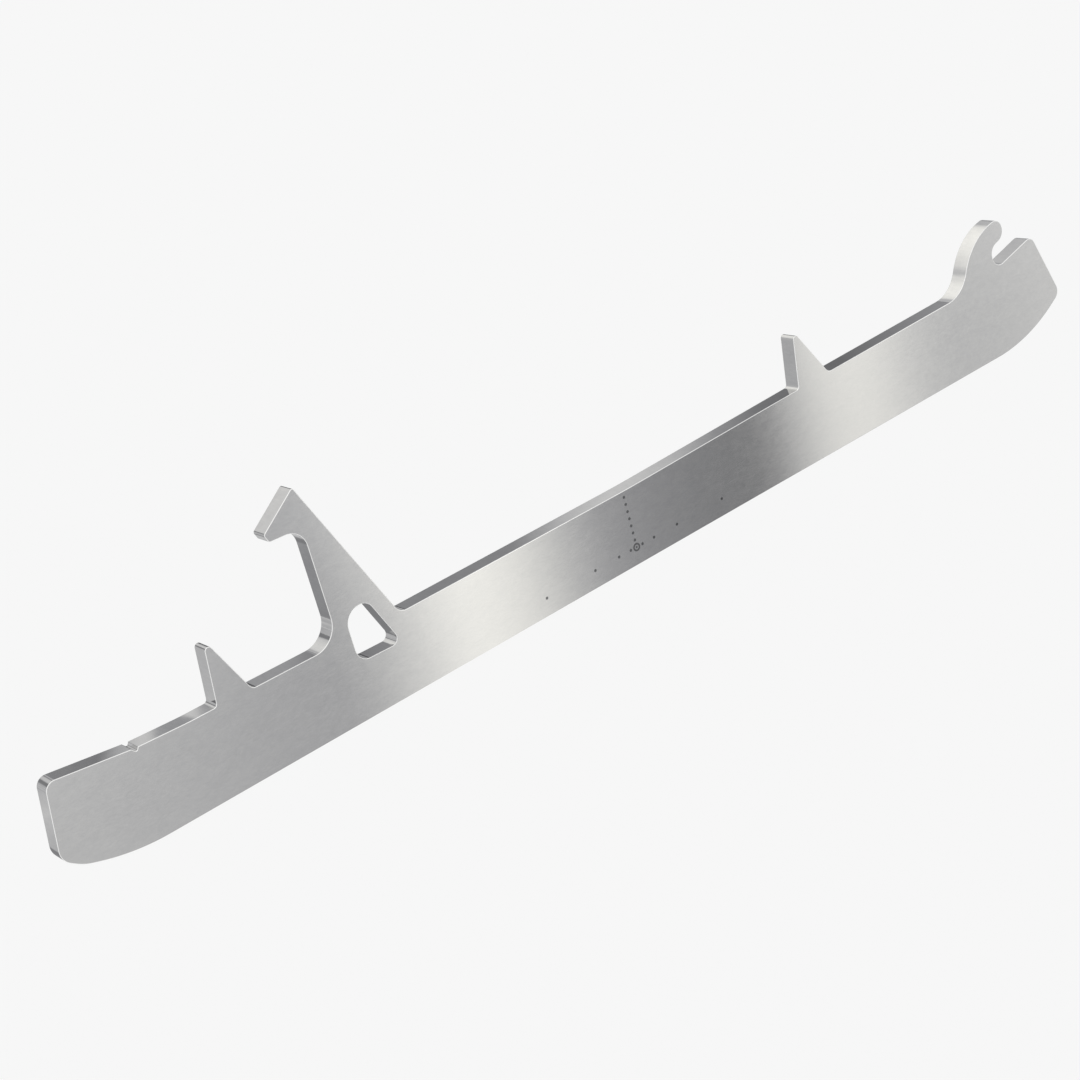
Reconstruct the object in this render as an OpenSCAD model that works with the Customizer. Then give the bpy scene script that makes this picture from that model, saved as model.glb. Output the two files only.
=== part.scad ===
// Ice hockey skate runner: the replaceable steel of a skate, one flat plate cut to its outline.
// X runs from the heel to the toe, Z up from the running edge, Y through the thickness.
// The origin is under the middle of the plate, on the running edge. All sizes are in millimetres.

/* [Plate] */
// length of the plate from its heel end to its toe end
runner_l = 212; // [209:0.5:218]
// thickness of the steel
steel_t = 3.14; // [2.5:0.02:4]
// height of the plate at mid-length
waist_h = 12.85; // [12:0.05:13.4]

/* [Heel] */
// radius of the running edge where it rises at the heel
heel_curve_r = 36; // [28:0.5:38]
// radius between that rise and the lower heel corner
heel_lift_r = 8; // [5:0.5:10]
// radius of the lower heel corner
heel_corner_r = 2.6; // [1.5:0.1:3.2]
// height of the upper heel corner before it is rounded
heel_h = 16.25; // [15.5:0.05:17.5]
// radius of the upper heel corner
heel_top_r = 1.6; // [0.6:0.1:2.5]
// depth of the small nick in the top of the heel
nick_depth = 0.75; // [0.4:0.05:1.5]

/* [Heel tab] */
// distance of the heel tab's upright wall from mid-length
heel_tab_x = 77.2; // [76:0.1:78]
// width of the heel tab at its foot
heel_tab_w = 6.05; // [5.5:0.05:8]
// height at which the two sides of the heel tab would meet
heel_tab_h = 24.4; // [21:0.1:26]
// radius of the tips of both tabs
tab_tip_r = 0.6; // [0.3:0.05:0.8]
// radius in the corner behind each tab
tab_root_r = 1.2; // [0.5:0.1:1.6]

/* [Hook] */
// distance of the hook's inner wall from mid-length
hook_x = 55.9; // [55:0.1:57]
// height of the hook's crown before it is rounded
hook_h = 38.6; // [36:0.1:41]
// how far the beak reaches past the inner wall
beak_reach = 6.1; // [4.8:0.1:7]
// radius of the hook's root
hook_root_r = 4.1; // [2:0.1:6]
// radius under the beak
beak_under_r = 3; // [1.5:0.1:4]
// width of the hook's foot at the plate
hook_foot_w = 11.2; // [10.8:0.1:13]

/* [Window] */
// height of the window's lower edge
window_low = 8.9; // [7.5:0.05:10]
// height of the window's upper edge
window_top = 17.35; // [15:0.05:20]
// width of the window along its upper edge
window_w = 4.25; // [4.2:0.05:4.6]

/* [Middle tab] */
// distance of the middle tab's upright wall from mid-length
mid_tab_x = 40.35; // [36:0.05:45]
// width of the middle tab at its foot
mid_tab_w = 7.25; // [6.5:0.05:9]
// height at which the two sides of the middle tab would meet
mid_tab_h = 23.85; // [20.5:0.05:26]

/* [Toe] */
// radius of the running edge where it rises at the toe
toe_curve_r = 33; // [28:0.5:36]
// radius of the toe tip
toe_tip_r = 1.8; // [1:0.1:2.4]
// height of the toe's upper corner before it is rounded
toe_h = 18.3; // [17.6:0.1:20]
// radius of the finger's rounded tip
finger_tip_r = 1.9; // [1.6:0.05:1.95]
// radius of the rounded end of the slot behind the finger
slot_r = 1.95; // [1.7:0.05:2.05]

/* [Hidden] */
half = runner_l / 2;
smooth = 240;
// every rounding circle is larger than the tangent one by this much, so that it crosses the sides and doesn't just touch them
over = 0.002;
// how far the cutting shapes reach past the plate's sides
reach = 0.5;

// the plate's corners as [x, z, radius], in order from the heel over the top to the toe
outline = [
    [-half + 10.2, 0, heel_curve_r],
    [-half + 2.72, 2.45, heel_lift_r],
    [-half - 0.24, 4.63, heel_corner_r],
    [-half + 1.55, heel_h, heel_top_r],
    [-half + 14.75, 14.5, 0],
    [-half + 15.4, 14.5 - nick_depth, 0.25],
    [-half + 15.8, 14.4, 0],
    [-81.8, 13.95, 60],
    [-heel_tab_x, 13.9, 0.6],
    [-heel_tab_x + 1.25, heel_tab_h, tab_tip_r],
    [-heel_tab_x + heel_tab_w, 13.75, tab_root_r],
    [-hook_x, 13.45, hook_root_r],
    [-hook_x, hook_h - 6.25, beak_under_r],
    [-hook_x - beak_reach + 0.5, hook_h - 5.95, 0.4],
    [-hook_x - beak_reach, hook_h - 4.65, 0.45],
    [-hook_x + 0.44, hook_h, 0.35],
    [-hook_x + hook_foot_w, 13.05, 2],
    [1, waist_h, 300],
    [mid_tab_x, 13.7, 0.6],
    [mid_tab_x + 1.37, mid_tab_h, tab_tip_r],
    [mid_tab_x + mid_tab_w, 13.9, tab_root_r],
    [half - 23.9, 14.4, 6.2],
    [half - 19.6, 23.3, 11.6],
    [half - 11.35, 24.65, finger_tip_r],
    [half - 11.35, 20.9, finger_tip_r],
    [half - 15, 19.8, slot_r],
    [half - 15, 15.65, slot_r],
    [half - 4.35, toe_h, 1.6],
    [half + 0.56, 5.55, toe_tip_r],
    [half - 9.4, 0, toe_curve_r],
];

// the window in the hook's foot
window = [
    [-hook_x + 2.25, window_top, 2.7],
    [-hook_x + 2.25 + window_w, window_top, 2],
    [-hook_x + 10.05, window_low - 0.15, 1.1],
    [-hook_x + 2.25, window_low + 0.1, 2.2],
];

function unit(v) = v / norm(v);
function turn(a, b) = a[0] * b[1] - a[1] * b[0];
function xz(p) = [p[0], p[1]];
function corner(pts, i) = [for (k = [-1:1]) xz(pts[(i + k + len(pts)) % len(pts)])];
// half the angle inside a corner
function lean(c) = acos(unit(c[0] - c[1]) * unit(c[2] - c[1])) / 2;
// centre of the circle that rounds a corner
function centre(c, r) = c[1] + unit(unit(c[0] - c[1]) + unit(c[2] - c[1])) * r / sin(lean(c));

// the heel and toe ends after rounding, and the step that puts their middle on the origin
heel_end = centre(corner(outline, 2), heel_corner_r)[0] - heel_corner_r;
toe_end = centre(corner(outline, len(outline) - 2), toe_tip_r)[0] + toe_tip_r;
to_middle = -(heel_end + toe_end) / 2;

// what lies between a sharp corner and its rounding
module sliver(c, r) {
    m = centre(c, r);
    t1 = c[1] + unit(c[0] - c[1]) * r / tan(lean(c));
    t2 = c[1] + unit(c[2] - c[1]) * r / tan(lean(c));
    difference() {
        polygon([m, t1 + unit(t1 - m) * reach, c[1] + unit(c[1] - m) * reach / sin(lean(c)), t2 + unit(t2 - m) * reach]);
        translate(m) circle(r = r + over, $fn = smooth);
    }
}

// a polygon with each corner rounded by its own radius: hollow corners are filled, then the others are cut
module rounded(pts) {
    difference() {
        union() {
            polygon([for (p = pts) xz(p)]);
            for (i = [0:len(pts) - 1]) {
                c = corner(pts, i);
                if (pts[i][2] > 0 && turn(c[1] - c[0], c[2] - c[1]) > 0) sliver([c[2], c[1], c[0]], pts[i][2]);
            }
        }
        for (i = [0:len(pts) - 1]) {
            c = corner(pts, i);
            if (pts[i][2] > 0 && turn(c[1] - c[0], c[2] - c[1]) < 0) sliver(c, pts[i][2]);
        }
    }
}

module steel_runner() {
    color([0.75, 0.76, 0.78])
    translate([to_middle, 0, 0])
    rotate([90, 0, 0])
    linear_extrude(height = steel_t, center = true)
    difference() {
        rounded(outline);
        rounded(window);
    }
}

steel_runner();
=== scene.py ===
import math

import bpy
import numpy as np
from mathutils import Matrix, Vector
from mathutils.geometry import delaunay_2d_cdt


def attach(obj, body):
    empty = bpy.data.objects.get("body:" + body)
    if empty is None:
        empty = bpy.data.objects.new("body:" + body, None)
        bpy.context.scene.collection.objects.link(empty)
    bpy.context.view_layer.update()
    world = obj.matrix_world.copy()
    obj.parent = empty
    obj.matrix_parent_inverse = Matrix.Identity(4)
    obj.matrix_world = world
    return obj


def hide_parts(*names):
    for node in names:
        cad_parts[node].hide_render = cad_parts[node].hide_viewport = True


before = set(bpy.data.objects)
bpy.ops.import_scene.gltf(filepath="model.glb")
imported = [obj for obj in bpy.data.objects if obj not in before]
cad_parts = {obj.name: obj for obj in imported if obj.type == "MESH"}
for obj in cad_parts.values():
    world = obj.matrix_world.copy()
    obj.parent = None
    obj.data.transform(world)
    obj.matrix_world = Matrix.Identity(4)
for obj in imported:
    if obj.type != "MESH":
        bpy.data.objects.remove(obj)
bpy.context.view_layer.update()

# ---------------------------------------------------------------- sizes, in millimetres
MM = 0.001
THICK = 3.14          # thickness of the plate
BREAK = 0.1           # radius of the broken edges
HALF = 106.0
# the ends after rounding aren't equally far from the marks, so the outline is moved by this to stand over its middle
TO_MIDDLE = -0.044

# corners as x, z, radius, from the heel over the top to the toe
OUTLINE = [
    (-HALF + 10.2, 0, 36),
    (-HALF + 2.72, 2.45, 8),
    (-HALF - 0.24, 4.63, 2.6),
    (-HALF + 1.55, 16.25, 1.6),
    (-HALF + 14.75, 14.5, 0.15),
    (-HALF + 15.4, 13.75, 0.25),
    (-HALF + 15.8, 14.4, 0.15),
    (-81.8, 13.95, 60),
    (-77.2, 13.9, 0.6),
    (-75.95, 24.4, 0.6),
    (-71.15, 13.75, 1.2),
    (-55.9, 13.45, 4.1),
    (-55.9, 32.35, 3),
    (-61.5, 32.65, 0.4),
    (-62.0, 33.95, 0.45),
    (-55.46, 38.6, 0.35),
    (-44.7, 13.05, 2),
    (1, 12.85, 300),
    (40.35, 13.7, 0.6),
    (41.72, 23.85, 0.6),
    (47.6, 13.9, 1.2),
    (HALF - 23.9, 14.4, 6.2),
    (HALF - 19.6, 23.3, 11.6),
    (HALF - 11.35, 24.65, 1.9),
    (HALF - 11.35, 20.9, 1.9),
    (HALF - 15, 19.8, 1.95),
    (HALF - 15, 15.65, 1.95),
    (HALF - 4.35, 18.3, 1.6),
    (HALF + 0.56, 5.55, 1.8),
    (HALF - 9.4, 0, 33),
]
WINDOW = [
    (-53.65, 17.35, 2.7),
    (-49.4, 17.35, 2),
    (-45.85, 8.75, 1.1),
    (-53.65, 9.0, 2.2),
]
MARK_Z = 2.95
PITCH = 1.27


def unit(x, z):
    n = math.hypot(x, z)
    return x / n, z / n


def walk(corners, chord):
    """Points round a closed outline with rounded corners, each with the direction out of the steel. The outline runs clockwise
    with the steel on its right, and chord is the longest step along an arc."""
    out = []
    n = len(corners)
    for i in range(n):
        ax, az, _ = corners[i - 1]
        px, pz, r = corners[i]
        bx, bz, _ = corners[(i + 1) % n]
        ux, uz = unit(ax - px, az - pz)
        vx, vz = unit(bx - px, bz - pz)
        lean = math.acos(max(-1, min(1, ux * vx + uz * vz))) / 2
        wx, wz = unit(ux + vx, uz + vz)
        cx, cz = px + wx * r / math.sin(lean), pz + wz * r / math.sin(lean)
        t1 = (px + ux * r / math.tan(lean), pz + uz * r / math.tan(lean))
        t2 = (px + vx * r / math.tan(lean), pz + vz * r / math.tan(lean))
        a1 = math.atan2(t1[1] - cz, t1[0] - cx)
        a2 = math.atan2(t2[1] - cz, t2[0] - cx)
        turn = (a2 - a1 + math.pi) % (2 * math.pi) - math.pi
        # a clockwise turn is a convex corner, where the way out of the steel is the way out of the circle
        side = 1 if turn < 0 else -1
        steps = max(3, math.ceil(abs(turn) * r / chord), math.ceil(abs(turn) / math.radians(5)))
        for k in range(steps + 1):
            a = a1 + turn * k / steps
            out.append((cx + r * math.cos(a), cz + r * math.sin(a), side * math.cos(a), side * math.sin(a)))
    return out


def with_steps(points, longest):
    """Adds points on the long straight sides, so that no face is a very thin sliver."""
    out = []
    n = len(points)
    for i in range(n):
        p, q = points[i], points[(i + 1) % n]
        out.append(p)
        d = math.hypot(q[0] - p[0], q[1] - p[1])
        k = int(d // longest)
        for j in range(1, k + 1):
            f = j / (k + 1)
            out.append((p[0] + (q[0] - p[0]) * f, p[1] + (q[1] - p[1]) * f, p[2], p[3]))
    return out


def inside(points, loop):
    """Which of the points lie inside a closed loop."""
    x, z = points[:, 0], points[:, 1]
    hit = np.zeros(len(points), bool)
    a = np.asarray(loop)
    b = np.roll(a, -1, 0)
    for (x0, z0), (x1, z1) in zip(a, b):
        if z0 == z1:
            continue
        cross = ((z0 > z) != (z1 > z)) & (x < (x1 - x0) * (z - z0) / (z1 - z0) + x0)
        hit ^= cross
    return hit


# ---------------------------------------------------------------- the plate's mesh
outer = with_steps(walk(OUTLINE, 0.45), 4.0)
# the window runs the other way round, so that the steel is on its right too
hole = [(x, z, -nx, -nz) for x, z, nx, nz in reversed(with_steps(walk(WINDOW, 0.3), 1.5))]

verts, normals, faces, slots = [], [], [], []
FACE, WALL, EDGE, MARK = 0, 1, 2, 3


def add(x, y, z, nx, ny, nz):
    verts.append(((x + TO_MIDDLE) * MM, y * MM, z * MM))
    normals.append((nx, ny, nz))
    return len(verts) - 1


ARC_STEPS = 5
profile = []
for k in range(ARC_STEPS + 1):
    a = math.pi / 2 * k / ARC_STEPS
    profile.append((BREAK * (1 - math.sin(a)), -THICK / 2 + BREAK * (1 - math.cos(a)), math.sin(a), -math.cos(a)))
for k in range(ARC_STEPS + 1):
    a = math.pi / 2 * (1 - k / ARC_STEPS)
    profile.append((BREAK * (1 - math.sin(a)), THICK / 2 - BREAK * (1 - math.cos(a)), math.sin(a), math.cos(a)))

rims = {}
for name, loop in (("outer", outer), ("hole", hole)):
    rings = []
    for inset, y, out_part, y_part in profile:
        rings.append([
            add(x - nx * inset, y, z - nz * inset, nx * out_part, y_part, nz * out_part) for x, z, nx, nz in loop
        ])
    n = len(loop)
    for k in range(len(rings) - 1):
        kind = WALL if k == ARC_STEPS else EDGE
        for i in range(n):
            j = (i + 1) % n
            faces.append((rings[k][i], rings[k][j], rings[k + 1][j], rings[k + 1][i]))
            slots.append(kind)
    rims[name] = (rings[0], rings[-1])


def circle(x, z, r, n):
    return [(x + r * math.cos(2 * math.pi * k / n), z + r * math.sin(2 * math.pi * k / n)) for k in range(n)]


# laser-burnt setting-out marks on the front face: a ring with a centre dot, a row along the blade and a column above the ring
dots = [(s * k * PITCH, MARK_Z) for k in (1, 3, 7, 15) for s in (-1, 1)]
dots += [(0, MARK_Z + k * PITCH) for k in range(1, 8)]
RING_OUT, RING_IN, RING_DOT, DOT = 0.72, 0.4, 0.2, 0.26


def flat_face(rim_outer, rim_hole, y, ny, marked):
    ids = list(rim_outer) + list(rim_hole)
    pts = [Vector((verts[i][0] / MM - TO_MIDDLE, verts[i][2] / MM)) for i in ids]
    n0, n1 = len(rim_outer), len(rim_hole)
    edges = [(i, (i + 1) % n0) for i in range(n0)] + [(n0 + i, n0 + (i + 1) % n1) for i in range(n1)]
    loops = []
    if marked:
        for x, z in dots:
            loops.append((circle(x, z, DOT, 20), 1))
        loops.append((circle(0, MARK_Z, RING_OUT, 40), 1))
        loops.append((circle(0, MARK_Z, RING_IN, 32), -1))
        loops.append((circle(0, MARK_Z, RING_DOT, 20), 1))
    for loop, _ in loops:
        s = len(pts)
        pts += [Vector(p) for p in loop]
        edges += [(s + i, s + (i + 1) % len(loop)) for i in range(len(loop))]
    got, _, tris, origin, _, _ = delaunay_2d_cdt(pts, edges, [], 0, 1e-7, True)
    own = {}
    for k, (p, o) in enumerate(zip(got, origin)):
        if o and o[0] < len(ids):
            own[k] = ids[o[0]]
        else:
            own[k] = add(p[0], y, p[1], 0, ny, 0)
    tri = np.array([t for t in tris if len(t) == 3])
    xy = np.array([tuple(p) for p in got])
    mid = xy[tri].mean(1)
    keep = inside(mid, [tuple(p) for p in pts[:n0]]) & ~inside(mid, [tuple(p) for p in pts[n0:n0 + n1]])
    burnt = np.zeros(len(tri), int)
    for loop, sign in loops:
        burnt += sign * inside(mid, loop).astype(int)
    for t, k, m in zip(tri, keep, burnt):
        if not k:
            continue
        a, b, c = (own[int(i)] for i in t)
        area = (xy[t[1]] - xy[t[0]])[0] * (xy[t[2]] - xy[t[0]])[1] - (xy[t[1]] - xy[t[0]])[1] * (xy[t[2]] - xy[t[0]])[0]
        if abs(area) < 1e-12:
            continue
        # in the X-Z plane a counterclockwise triangle faces -Y
        faces.append((a, b, c) if (area > 0) == (ny < 0) else (a, c, b))
        slots.append(MARK if m > 0 else FACE)


flat_face(rims["outer"][0], rims["hole"][0], -THICK / 2, -1, True)
flat_face(rims["outer"][1], rims["hole"][1], THICK / 2, 1, False)

mesh = bpy.data.meshes.new("runner_steel_mesh")
mesh.from_pydata(verts, [], faces)
mesh.validate(verbose=False)
mesh.update()
plate = bpy.data.objects.new("runner_plate", mesh)
bpy.context.scene.collection.objects.link(plate)
mesh.polygons.foreach_set("material_index", slots)
mesh.polygons.foreach_set("use_smooth", [True] * len(mesh.polygons))

# every wall face looks out of the steel
flip = 0
for poly in mesh.polygons:
    want = Vector((0, 0, 0))
    for v in poly.vertices:
        want += Vector(normals[v])
    if want.dot(poly.normal) < 0:
        flip += 1
if flip:
    import bmesh
    bm = bmesh.new()
    bm.from_mesh(mesh)
    bm.faces.ensure_lookup_table()
    wrong = [f for f in bm.faces if sum((Vector(normals[v.index]) for v in f.verts), Vector()).dot(f.normal) < 0]
    bmesh.ops.reverse_faces(bm, faces=wrong)
    bm.to_mesh(mesh)
    bm.free()
mesh.normals_split_custom_set_from_vertices(normals)
mesh.update()
print("plate:", len(mesh.vertices), "points,", len(mesh.polygons), "faces,", flip, "turned")


# ---------------------------------------------------------------- materials
def new_material(name):
    m = bpy.data.materials.new(name)
    m.use_nodes = True
    t = m.node_tree
    t.nodes.clear()
    out = t.nodes.new("ShaderNodeOutputMaterial")
    bsdf = t.nodes.new("ShaderNodeBsdfPrincipled")
    t.links.new(bsdf.outputs[0], out.inputs[0])
    return m, t, bsdf


def noise(t, coords, scale, detail, roughness=0.5):
    """Noise in coordinates stretched by scale, which is in features per metre along X, Y and Z."""
    mp = t.nodes.new("ShaderNodeMapping")
    mp.inputs["Scale"].default_value = scale
    t.links.new(coords, mp.inputs["Vector"])
    n = t.nodes.new("ShaderNodeTexNoise")
    n.inputs["Scale"].default_value = 1.0
    n.inputs["Detail"].default_value = detail
    n.inputs["Roughness"].default_value = roughness
    t.links.new(mp.outputs[0], n.inputs["Vector"])
    return n.outputs["Fac"]


def spread(t, value, low, high, from_low=0.3, from_high=0.7):
    r = t.nodes.new("ShaderNodeMapRange")
    r.inputs["From Min"].default_value = from_low
    r.inputs["From Max"].default_value = from_high
    r.inputs["To Min"].default_value = low
    r.inputs["To Max"].default_value = high
    t.links.new(value, r.inputs["Value"])
    return r.outputs[0]


def mix(t, a, b, factor):
    n = t.nodes.new("ShaderNodeMix")
    n.data_type = "FLOAT"
    n.inputs[0].default_value = factor
    t.links.new(a, n.inputs[2])
    t.links.new(b, n.inputs[3])
    return n.outputs[0]


def ramp(t, value, stops):
    r = t.nodes.new("ShaderNodeValToRGB")
    while len(r.color_ramp.elements) > 1:
        r.color_ramp.elements.remove(r.color_ramp.elements[-1])
    for i, (pos, col) in enumerate(stops):
        e = r.color_ramp.elements[0] if i == 0 else r.color_ramp.elements.new(pos)
        e.position = pos
        e.color = (*col, 1)
    t.links.new(value, r.inputs[0])
    return r.outputs[0]


def steel(name, grain, mottle, tint_low, tint_high, rough_low, rough_high, bump_m, anisotropic):
    m, t, b = new_material(name)
    coords = t.nodes.new("ShaderNodeTexCoord").outputs["Object"]
    fine = noise(t, coords, grain, 3, 0.6)
    broad = noise(t, coords, mottle, 4, 0.55)
    both = mix(t, fine, broad, 0.45)
    colour = ramp(t, both, [(0.3, tint_low), (0.7, tint_high)])
    t.links.new(colour, b.inputs["Base Color"])
    b.inputs["Metallic"].default_value = 1.0
    b.inputs["Anisotropic"].default_value = anisotropic
    t.links.new(spread(t, both, rough_low, rough_high), b.inputs["Roughness"])
    bump = t.nodes.new("ShaderNodeBump")
    bump.inputs["Strength"].default_value = 1.0
    bump.inputs["Distance"].default_value = bump_m
    t.links.new(fine, bump.inputs["Height"])
    t.links.new(bump.outputs[0], b.inputs["Normal"])
    return m


# fine lengthwise brushing on the two large faces
m_face = steel("brushed_face", (1100, 3200, 3200), (450, 900, 900), (0.62, 0.62, 0.62), (0.69, 0.688, 0.683), 0.085, 0.11, 3e-8, 0.0)
# cut and ground side walls
m_wall = steel("ground_wall", (2500, 500, 2500), (600, 600, 600), (0.61, 0.61, 0.612), (0.69, 0.688, 0.684), 0.045, 0.07, 6e-8, 0.0)
# the tumbled edge break; its colour is raised well above the faces' steel as a painted highlight along every edge
m_edge_highlight = steel("broken_edge_painted_highlight", (900, 900, 900), (300, 300, 300), (0.84, 0.838, 0.83), (0.92, 0.918, 0.91), 0.1, 0.14, 6e-8, 0.0)
# the dark oxide of the laser marks
m_mark, t, b = new_material("laser_oxide")
coords = t.nodes.new("ShaderNodeTexCoord").outputs["Object"]
speck = noise(t, coords, (9000, 9000, 9000), 2)
t.links.new(ramp(t, speck, [(0.3, (0.16, 0.163, 0.168)), (0.7, (0.25, 0.252, 0.255))]), b.inputs["Base Color"])
b.inputs["Metallic"].default_value = 1.0
t.links.new(spread(t, speck, 0.12, 0.18), b.inputs["Roughness"])
for m in (m_face, m_wall, m_edge_highlight, m_mark):
    mesh.materials.append(m)

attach(plate, "root")
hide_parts("steel_runner")
# the hidden CAD node gets the same steel
for name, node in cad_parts.items():
    node.data.materials.clear()
    node.data.materials.append(m_face)

# ---------------------------------------------------------------- camera
right = Vector((0.7600817, -0.6010187, -0.2470877))
down = Vector((-0.4189619, -0.1625815, -0.8933298))
ahead = Vector((0.4967361, 0.7825240, -0.3753792))
cam_data = bpy.data.cameras.new("camera")
cam = bpy.data.objects.new("camera", cam_data)
bpy.context.scene.collection.objects.link(cam)
rot = Matrix((right, -down, -ahead)).transposed()
cam.matrix_world = Matrix.Translation(Vector((-0.188086, -0.270341, 0.141326))) @ rot.to_4x4()
cam_data.sensor_fit = "HORIZONTAL"
cam_data.sensor_width = 36.0
cam_data.lens = 73.593
cam_data.clip_start = 0.01
cam_data.clip_end = 100.0
bpy.context.scene.camera = cam

# ---------------------------------------------------------------- floor, world and studio cards
scene = bpy.context.scene
scene.view_settings.view_transform = "Standard"
scene.view_settings.look = "None"
scene.view_settings.exposure = 0.0
scene.view_settings.gamma = 1.0

world = bpy.data.worlds.new("studio")
scene.world = world
world.use_nodes = True
bg = world.node_tree.nodes["Background"]
bg.inputs["Color"].default_value = (1.0, 1.0, 1.0, 1)
bg.inputs["Strength"].default_value = 1.0


def plane(name, centre, u, v, half_u, half_v):
    """A flat card whose front looks along u cross v."""
    c, u, v = Vector(centre), Vector(u).normalized(), Vector(v).normalized()
    me = bpy.data.meshes.new(name)
    me.from_pydata([tuple(c - u * half_u - v * half_v), tuple(c + u * half_u - v * half_v),
                    tuple(c + u * half_u + v * half_v), tuple(c - u * half_u + v * half_v)], [], [(0, 1, 2, 3)])
    me.update()
    o = bpy.data.objects.new(name, me)
    scene.collection.objects.link(o)
    return o


FLOOR_Z = -0.5
floor = plane("floor", (0, 0, FLOOR_Z), (1, 0, 0), (0, 1, 0), 30, 30)
m_floor, t, b = new_material("pale_floor")
coords = t.nodes.new("ShaderNodeTexCoord").outputs["Object"]
b.inputs["Base Color"].default_value = (0.93, 0.93, 0.93, 1)
b.inputs["Roughness"].default_value = 0.9
b.inputs["Specular IOR Level"].default_value = 0.0
floor.data.materials.append(m_floor)


def tint(level):
    """Bright light is a little warm and dim light a little cool."""
    w = max(0.0, min(1.0, (level - 0.4) / 0.8))
    return 0.985 + 0.015 * w, 0.99, 1.02 - 0.075 * w


def card(name, centre, u, v, half_u, half_v, stops, rise=None):
    """A card that only shows in the steel's reflection: its light changes along u between the stops, which are metres from
    the card's centre and levels. With rise, which is two heights and a factor, it also grows brighter upwards."""
    o = plane(name, centre, u, v, half_u, half_v)
    m = bpy.data.materials.new(name + "_light")
    m.use_nodes = True
    t = m.node_tree
    t.nodes.clear()
    out = t.nodes.new("ShaderNodeOutputMaterial")
    em = t.nodes.new("ShaderNodeEmission")
    t.links.new(em.outputs[0], out.inputs[0])
    geo = t.nodes.new("ShaderNodeNewGeometry").outputs["Position"]
    c, axis = Vector(centre), Vector(u).normalized()
    dot = t.nodes.new("ShaderNodeVectorMath")
    dot.operation = "DOT_PRODUCT"
    t.links.new(geo, dot.inputs[0])
    dot.inputs[1].default_value = axis
    shift = -c.dot(axis)
    lo, hi = stops[0][0], stops[-1][0]
    r = t.nodes.new("ShaderNodeMapRange")
    r.inputs["From Min"].default_value = lo - shift
    r.inputs["From Max"].default_value = hi - shift
    t.links.new(dot.outputs["Value"], r.inputs["Value"])
    top = max(s[1] for s in stops)
    col = ramp(t, r.outputs[0], [((p - lo) / (hi - lo), tuple(c * l / top for c in tint(l))) for p, l in stops])
    t.links.new(col, em.inputs["Color"])
    em.inputs["Strength"].default_value = top
    if rise:
        split = t.nodes.new("ShaderNodeSeparateXYZ")
        t.links.new(geo, split.inputs[0])
        t.links.new(spread(t, split.outputs["Z"], top, top * rise[2], rise[0], rise[1]), em.inputs["Strength"])
    o.data.materials.append(m)
    o.visible_camera = False
    o.visible_diffuse = False
    o.visible_shadow = False
    o.visible_transmission = False
    return o


def mirrored(x, y_card):
    """Where a card at y_card shows in the front face at x, both in millimetres."""
    t = (-THICK / 2 - y_card) / (270.341 - THICK / 2)
    return (x + t * (x + 188.086)) * MM


Y_FRONT = -600
front_levels = [(-120, 0.74), (-85, 0.63), (-56, 0.5), (-45, 0.86), (-34, 1.38), (-24, 1.18), (-12, 0.62), (-4, 0.4), (14, 0.3),
                (31, 0.23), (38, 0.72), (46, 1.13), (56, 1.21), (66, 0.85), (76, 0.66), (100, 0.78), (120, 0.9)]
mid = mirrored(0, Y_FRONT)
card("front_card", (mid, Y_FRONT * MM, -0.3), (1, 0, 0), (0, 0, 1), 0.9, 0.45,
     [(mirrored(x, Y_FRONT) - mid, l) for x, l in front_levels], (-0.285, -0.195, 1.19))

# behind the blade: a low card whose light changes along the blade for the top walls, high ones for the tips, the finger and
# the slot, and low ones for the walls that look at the heel and down
Y_BACK = 800
low_levels = [(-130, 0.6), (-104, 0.55), (-94, 0.6), (-84, 0.56), (-81.5, 0.62), (-79, 0.78), (-77.3, 0.84), (-76.2, 0.48), (-74.9, 0.41), (-70, 0.42), (-60, 0.44), (-53, 0.27), (-46, 0.26), (-42, 0.33), (-20, 0.32), (-10, 0.62), (0, 0.78),
              (9, 0.64), (19, 0.38), (30, 0.24), (50, 0.2), (74, 0.36), (100, 0.5)]


def in_top(x):
    """Where the low back card shows in a level top wall at x, in metres."""
    t = (Y_BACK - THICK / 2) / (270.341 + THICK / 2)
    return (x + t * (x + 188.086)) * MM


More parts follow.
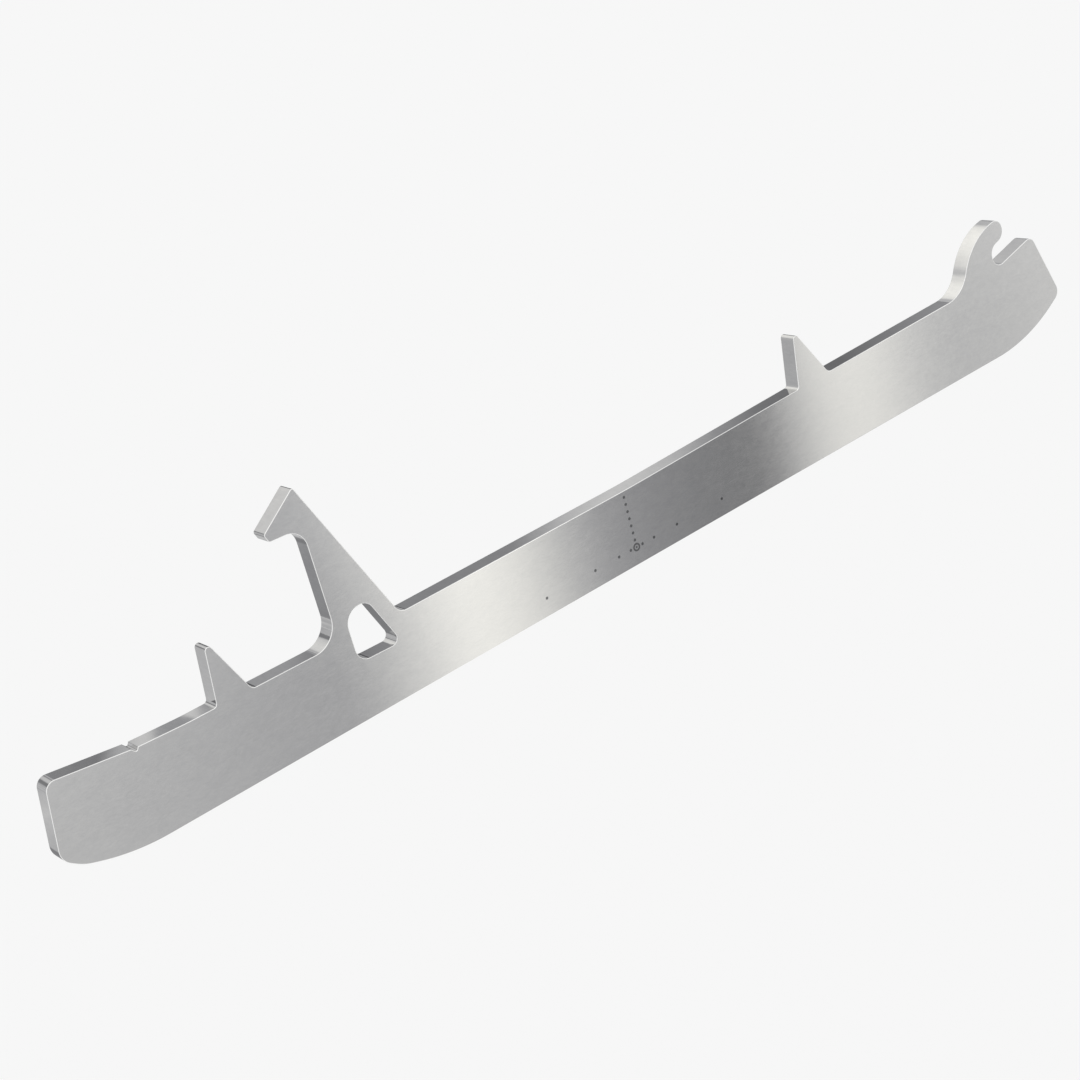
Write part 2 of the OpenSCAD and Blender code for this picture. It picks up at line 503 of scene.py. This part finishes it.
X, Z, BACK = (1, 0, 0), (0, 0, 1), Y_BACK * MM
card("back_low_card", (0.71, BACK, 0.3), X, Z, 0.59, 0.2, [(in_top(x) - 0.71, l) for x, l in low_levels])
card("back_nick_card", (0.215, BACK - 0.01, 0.28), X, Z, 0.075, 0.045, [(-0.075, 0.34), (0.03, 0.3), (0.047, 0.26), (0.058, 0.54), (0.075, 0.64)])
card("back_high_card", (-0.43, BACK, 0.95), Z, X, 0.45, 0.93, [(-0.45, 0.84), (-0.37, 1.0), (-0.2, 1.1), (0.0, 1.34), (0.45, 1.34)])
card("back_right_card", (1.0, BACK, 0.95), X, Z, 0.5, 0.45, [(-0.5, 1.22), (-0.4, 0.97), (-0.335, 0.66), (0.5, 0.63)])
card("back_left_card", (-0.19, BACK, 0.3), Z, X, 0.2, 0.31, [(-0.2, 0.6), (-0.08, 0.55), (0.0, 0.28), (0.12, 0.28), (0.15, 0.74), (0.2, 0.84)])
card("back_far_card", (-0.95, BACK, 0.3), Z, X, 0.2, 0.45, [(-0.2, 0.58), (0.0, 0.6), (0.2, 0.8)])
card("back_foot_card", (-0.6, BACK, -0.2), Z, X, 0.29, 0.7,
     [(-0.29, 0.3), (-0.2, 0.28), (-0.155, 0.3), (-0.139, 0.365), (-0.107, 0.37), (-0.1, 0.39), (-0.088, 0.78), (-0.07, 0.63), (0.0, 0.57), (0.06, 0.55), (0.1, 0.68), (0.13, 0.7), (0.18, 0.6), (0.29, 0.6)])
card("nose_card", (-0.0675, 0.1, -0.021), Z, X, 0.009, 0.0075, [(-0.009, 0.66), (0.009, 0.62)])
card("under_card", (-0.045, 0.05, 0.005), X, Z, 0.017, 0.011, [(-0.017, 0.42), (-0.011, 0.6), (-0.006, 0.66), (0.017, 0.68)])
card("crown_card", (0.41, BACK - 0.01, 0.0), X, Z, 0.08, 0.3, [(-0.08, 0.12), (0.08, 0.12)])
card("heel_card", (-0.235, 0.2, -0.13), Z, X, 0.0675, 0.05, [(-0.0675, 0.5), (0.055, 0.53), (0.0675, 0.7)])
card("back_foot_right_card", (0.95, BACK, -0.2), Z, X, 0.29, 0.85, [(-0.29, 0.3), (0.29, 0.32)])
card("edge_card", (0.64, -0.2, -0.49), X, (0, 1, 0), 0.3, 0.4, [(-0.3, 0.93), (-0.25, 0.55), (0.3, 0.6)])
card("low_card", (-0.1, 0.65, -0.48), (0, 1, 0), (-1, 0, 0), 0.15, 0.5, [(-0.15, 0.3), (0.15, 0.26)])
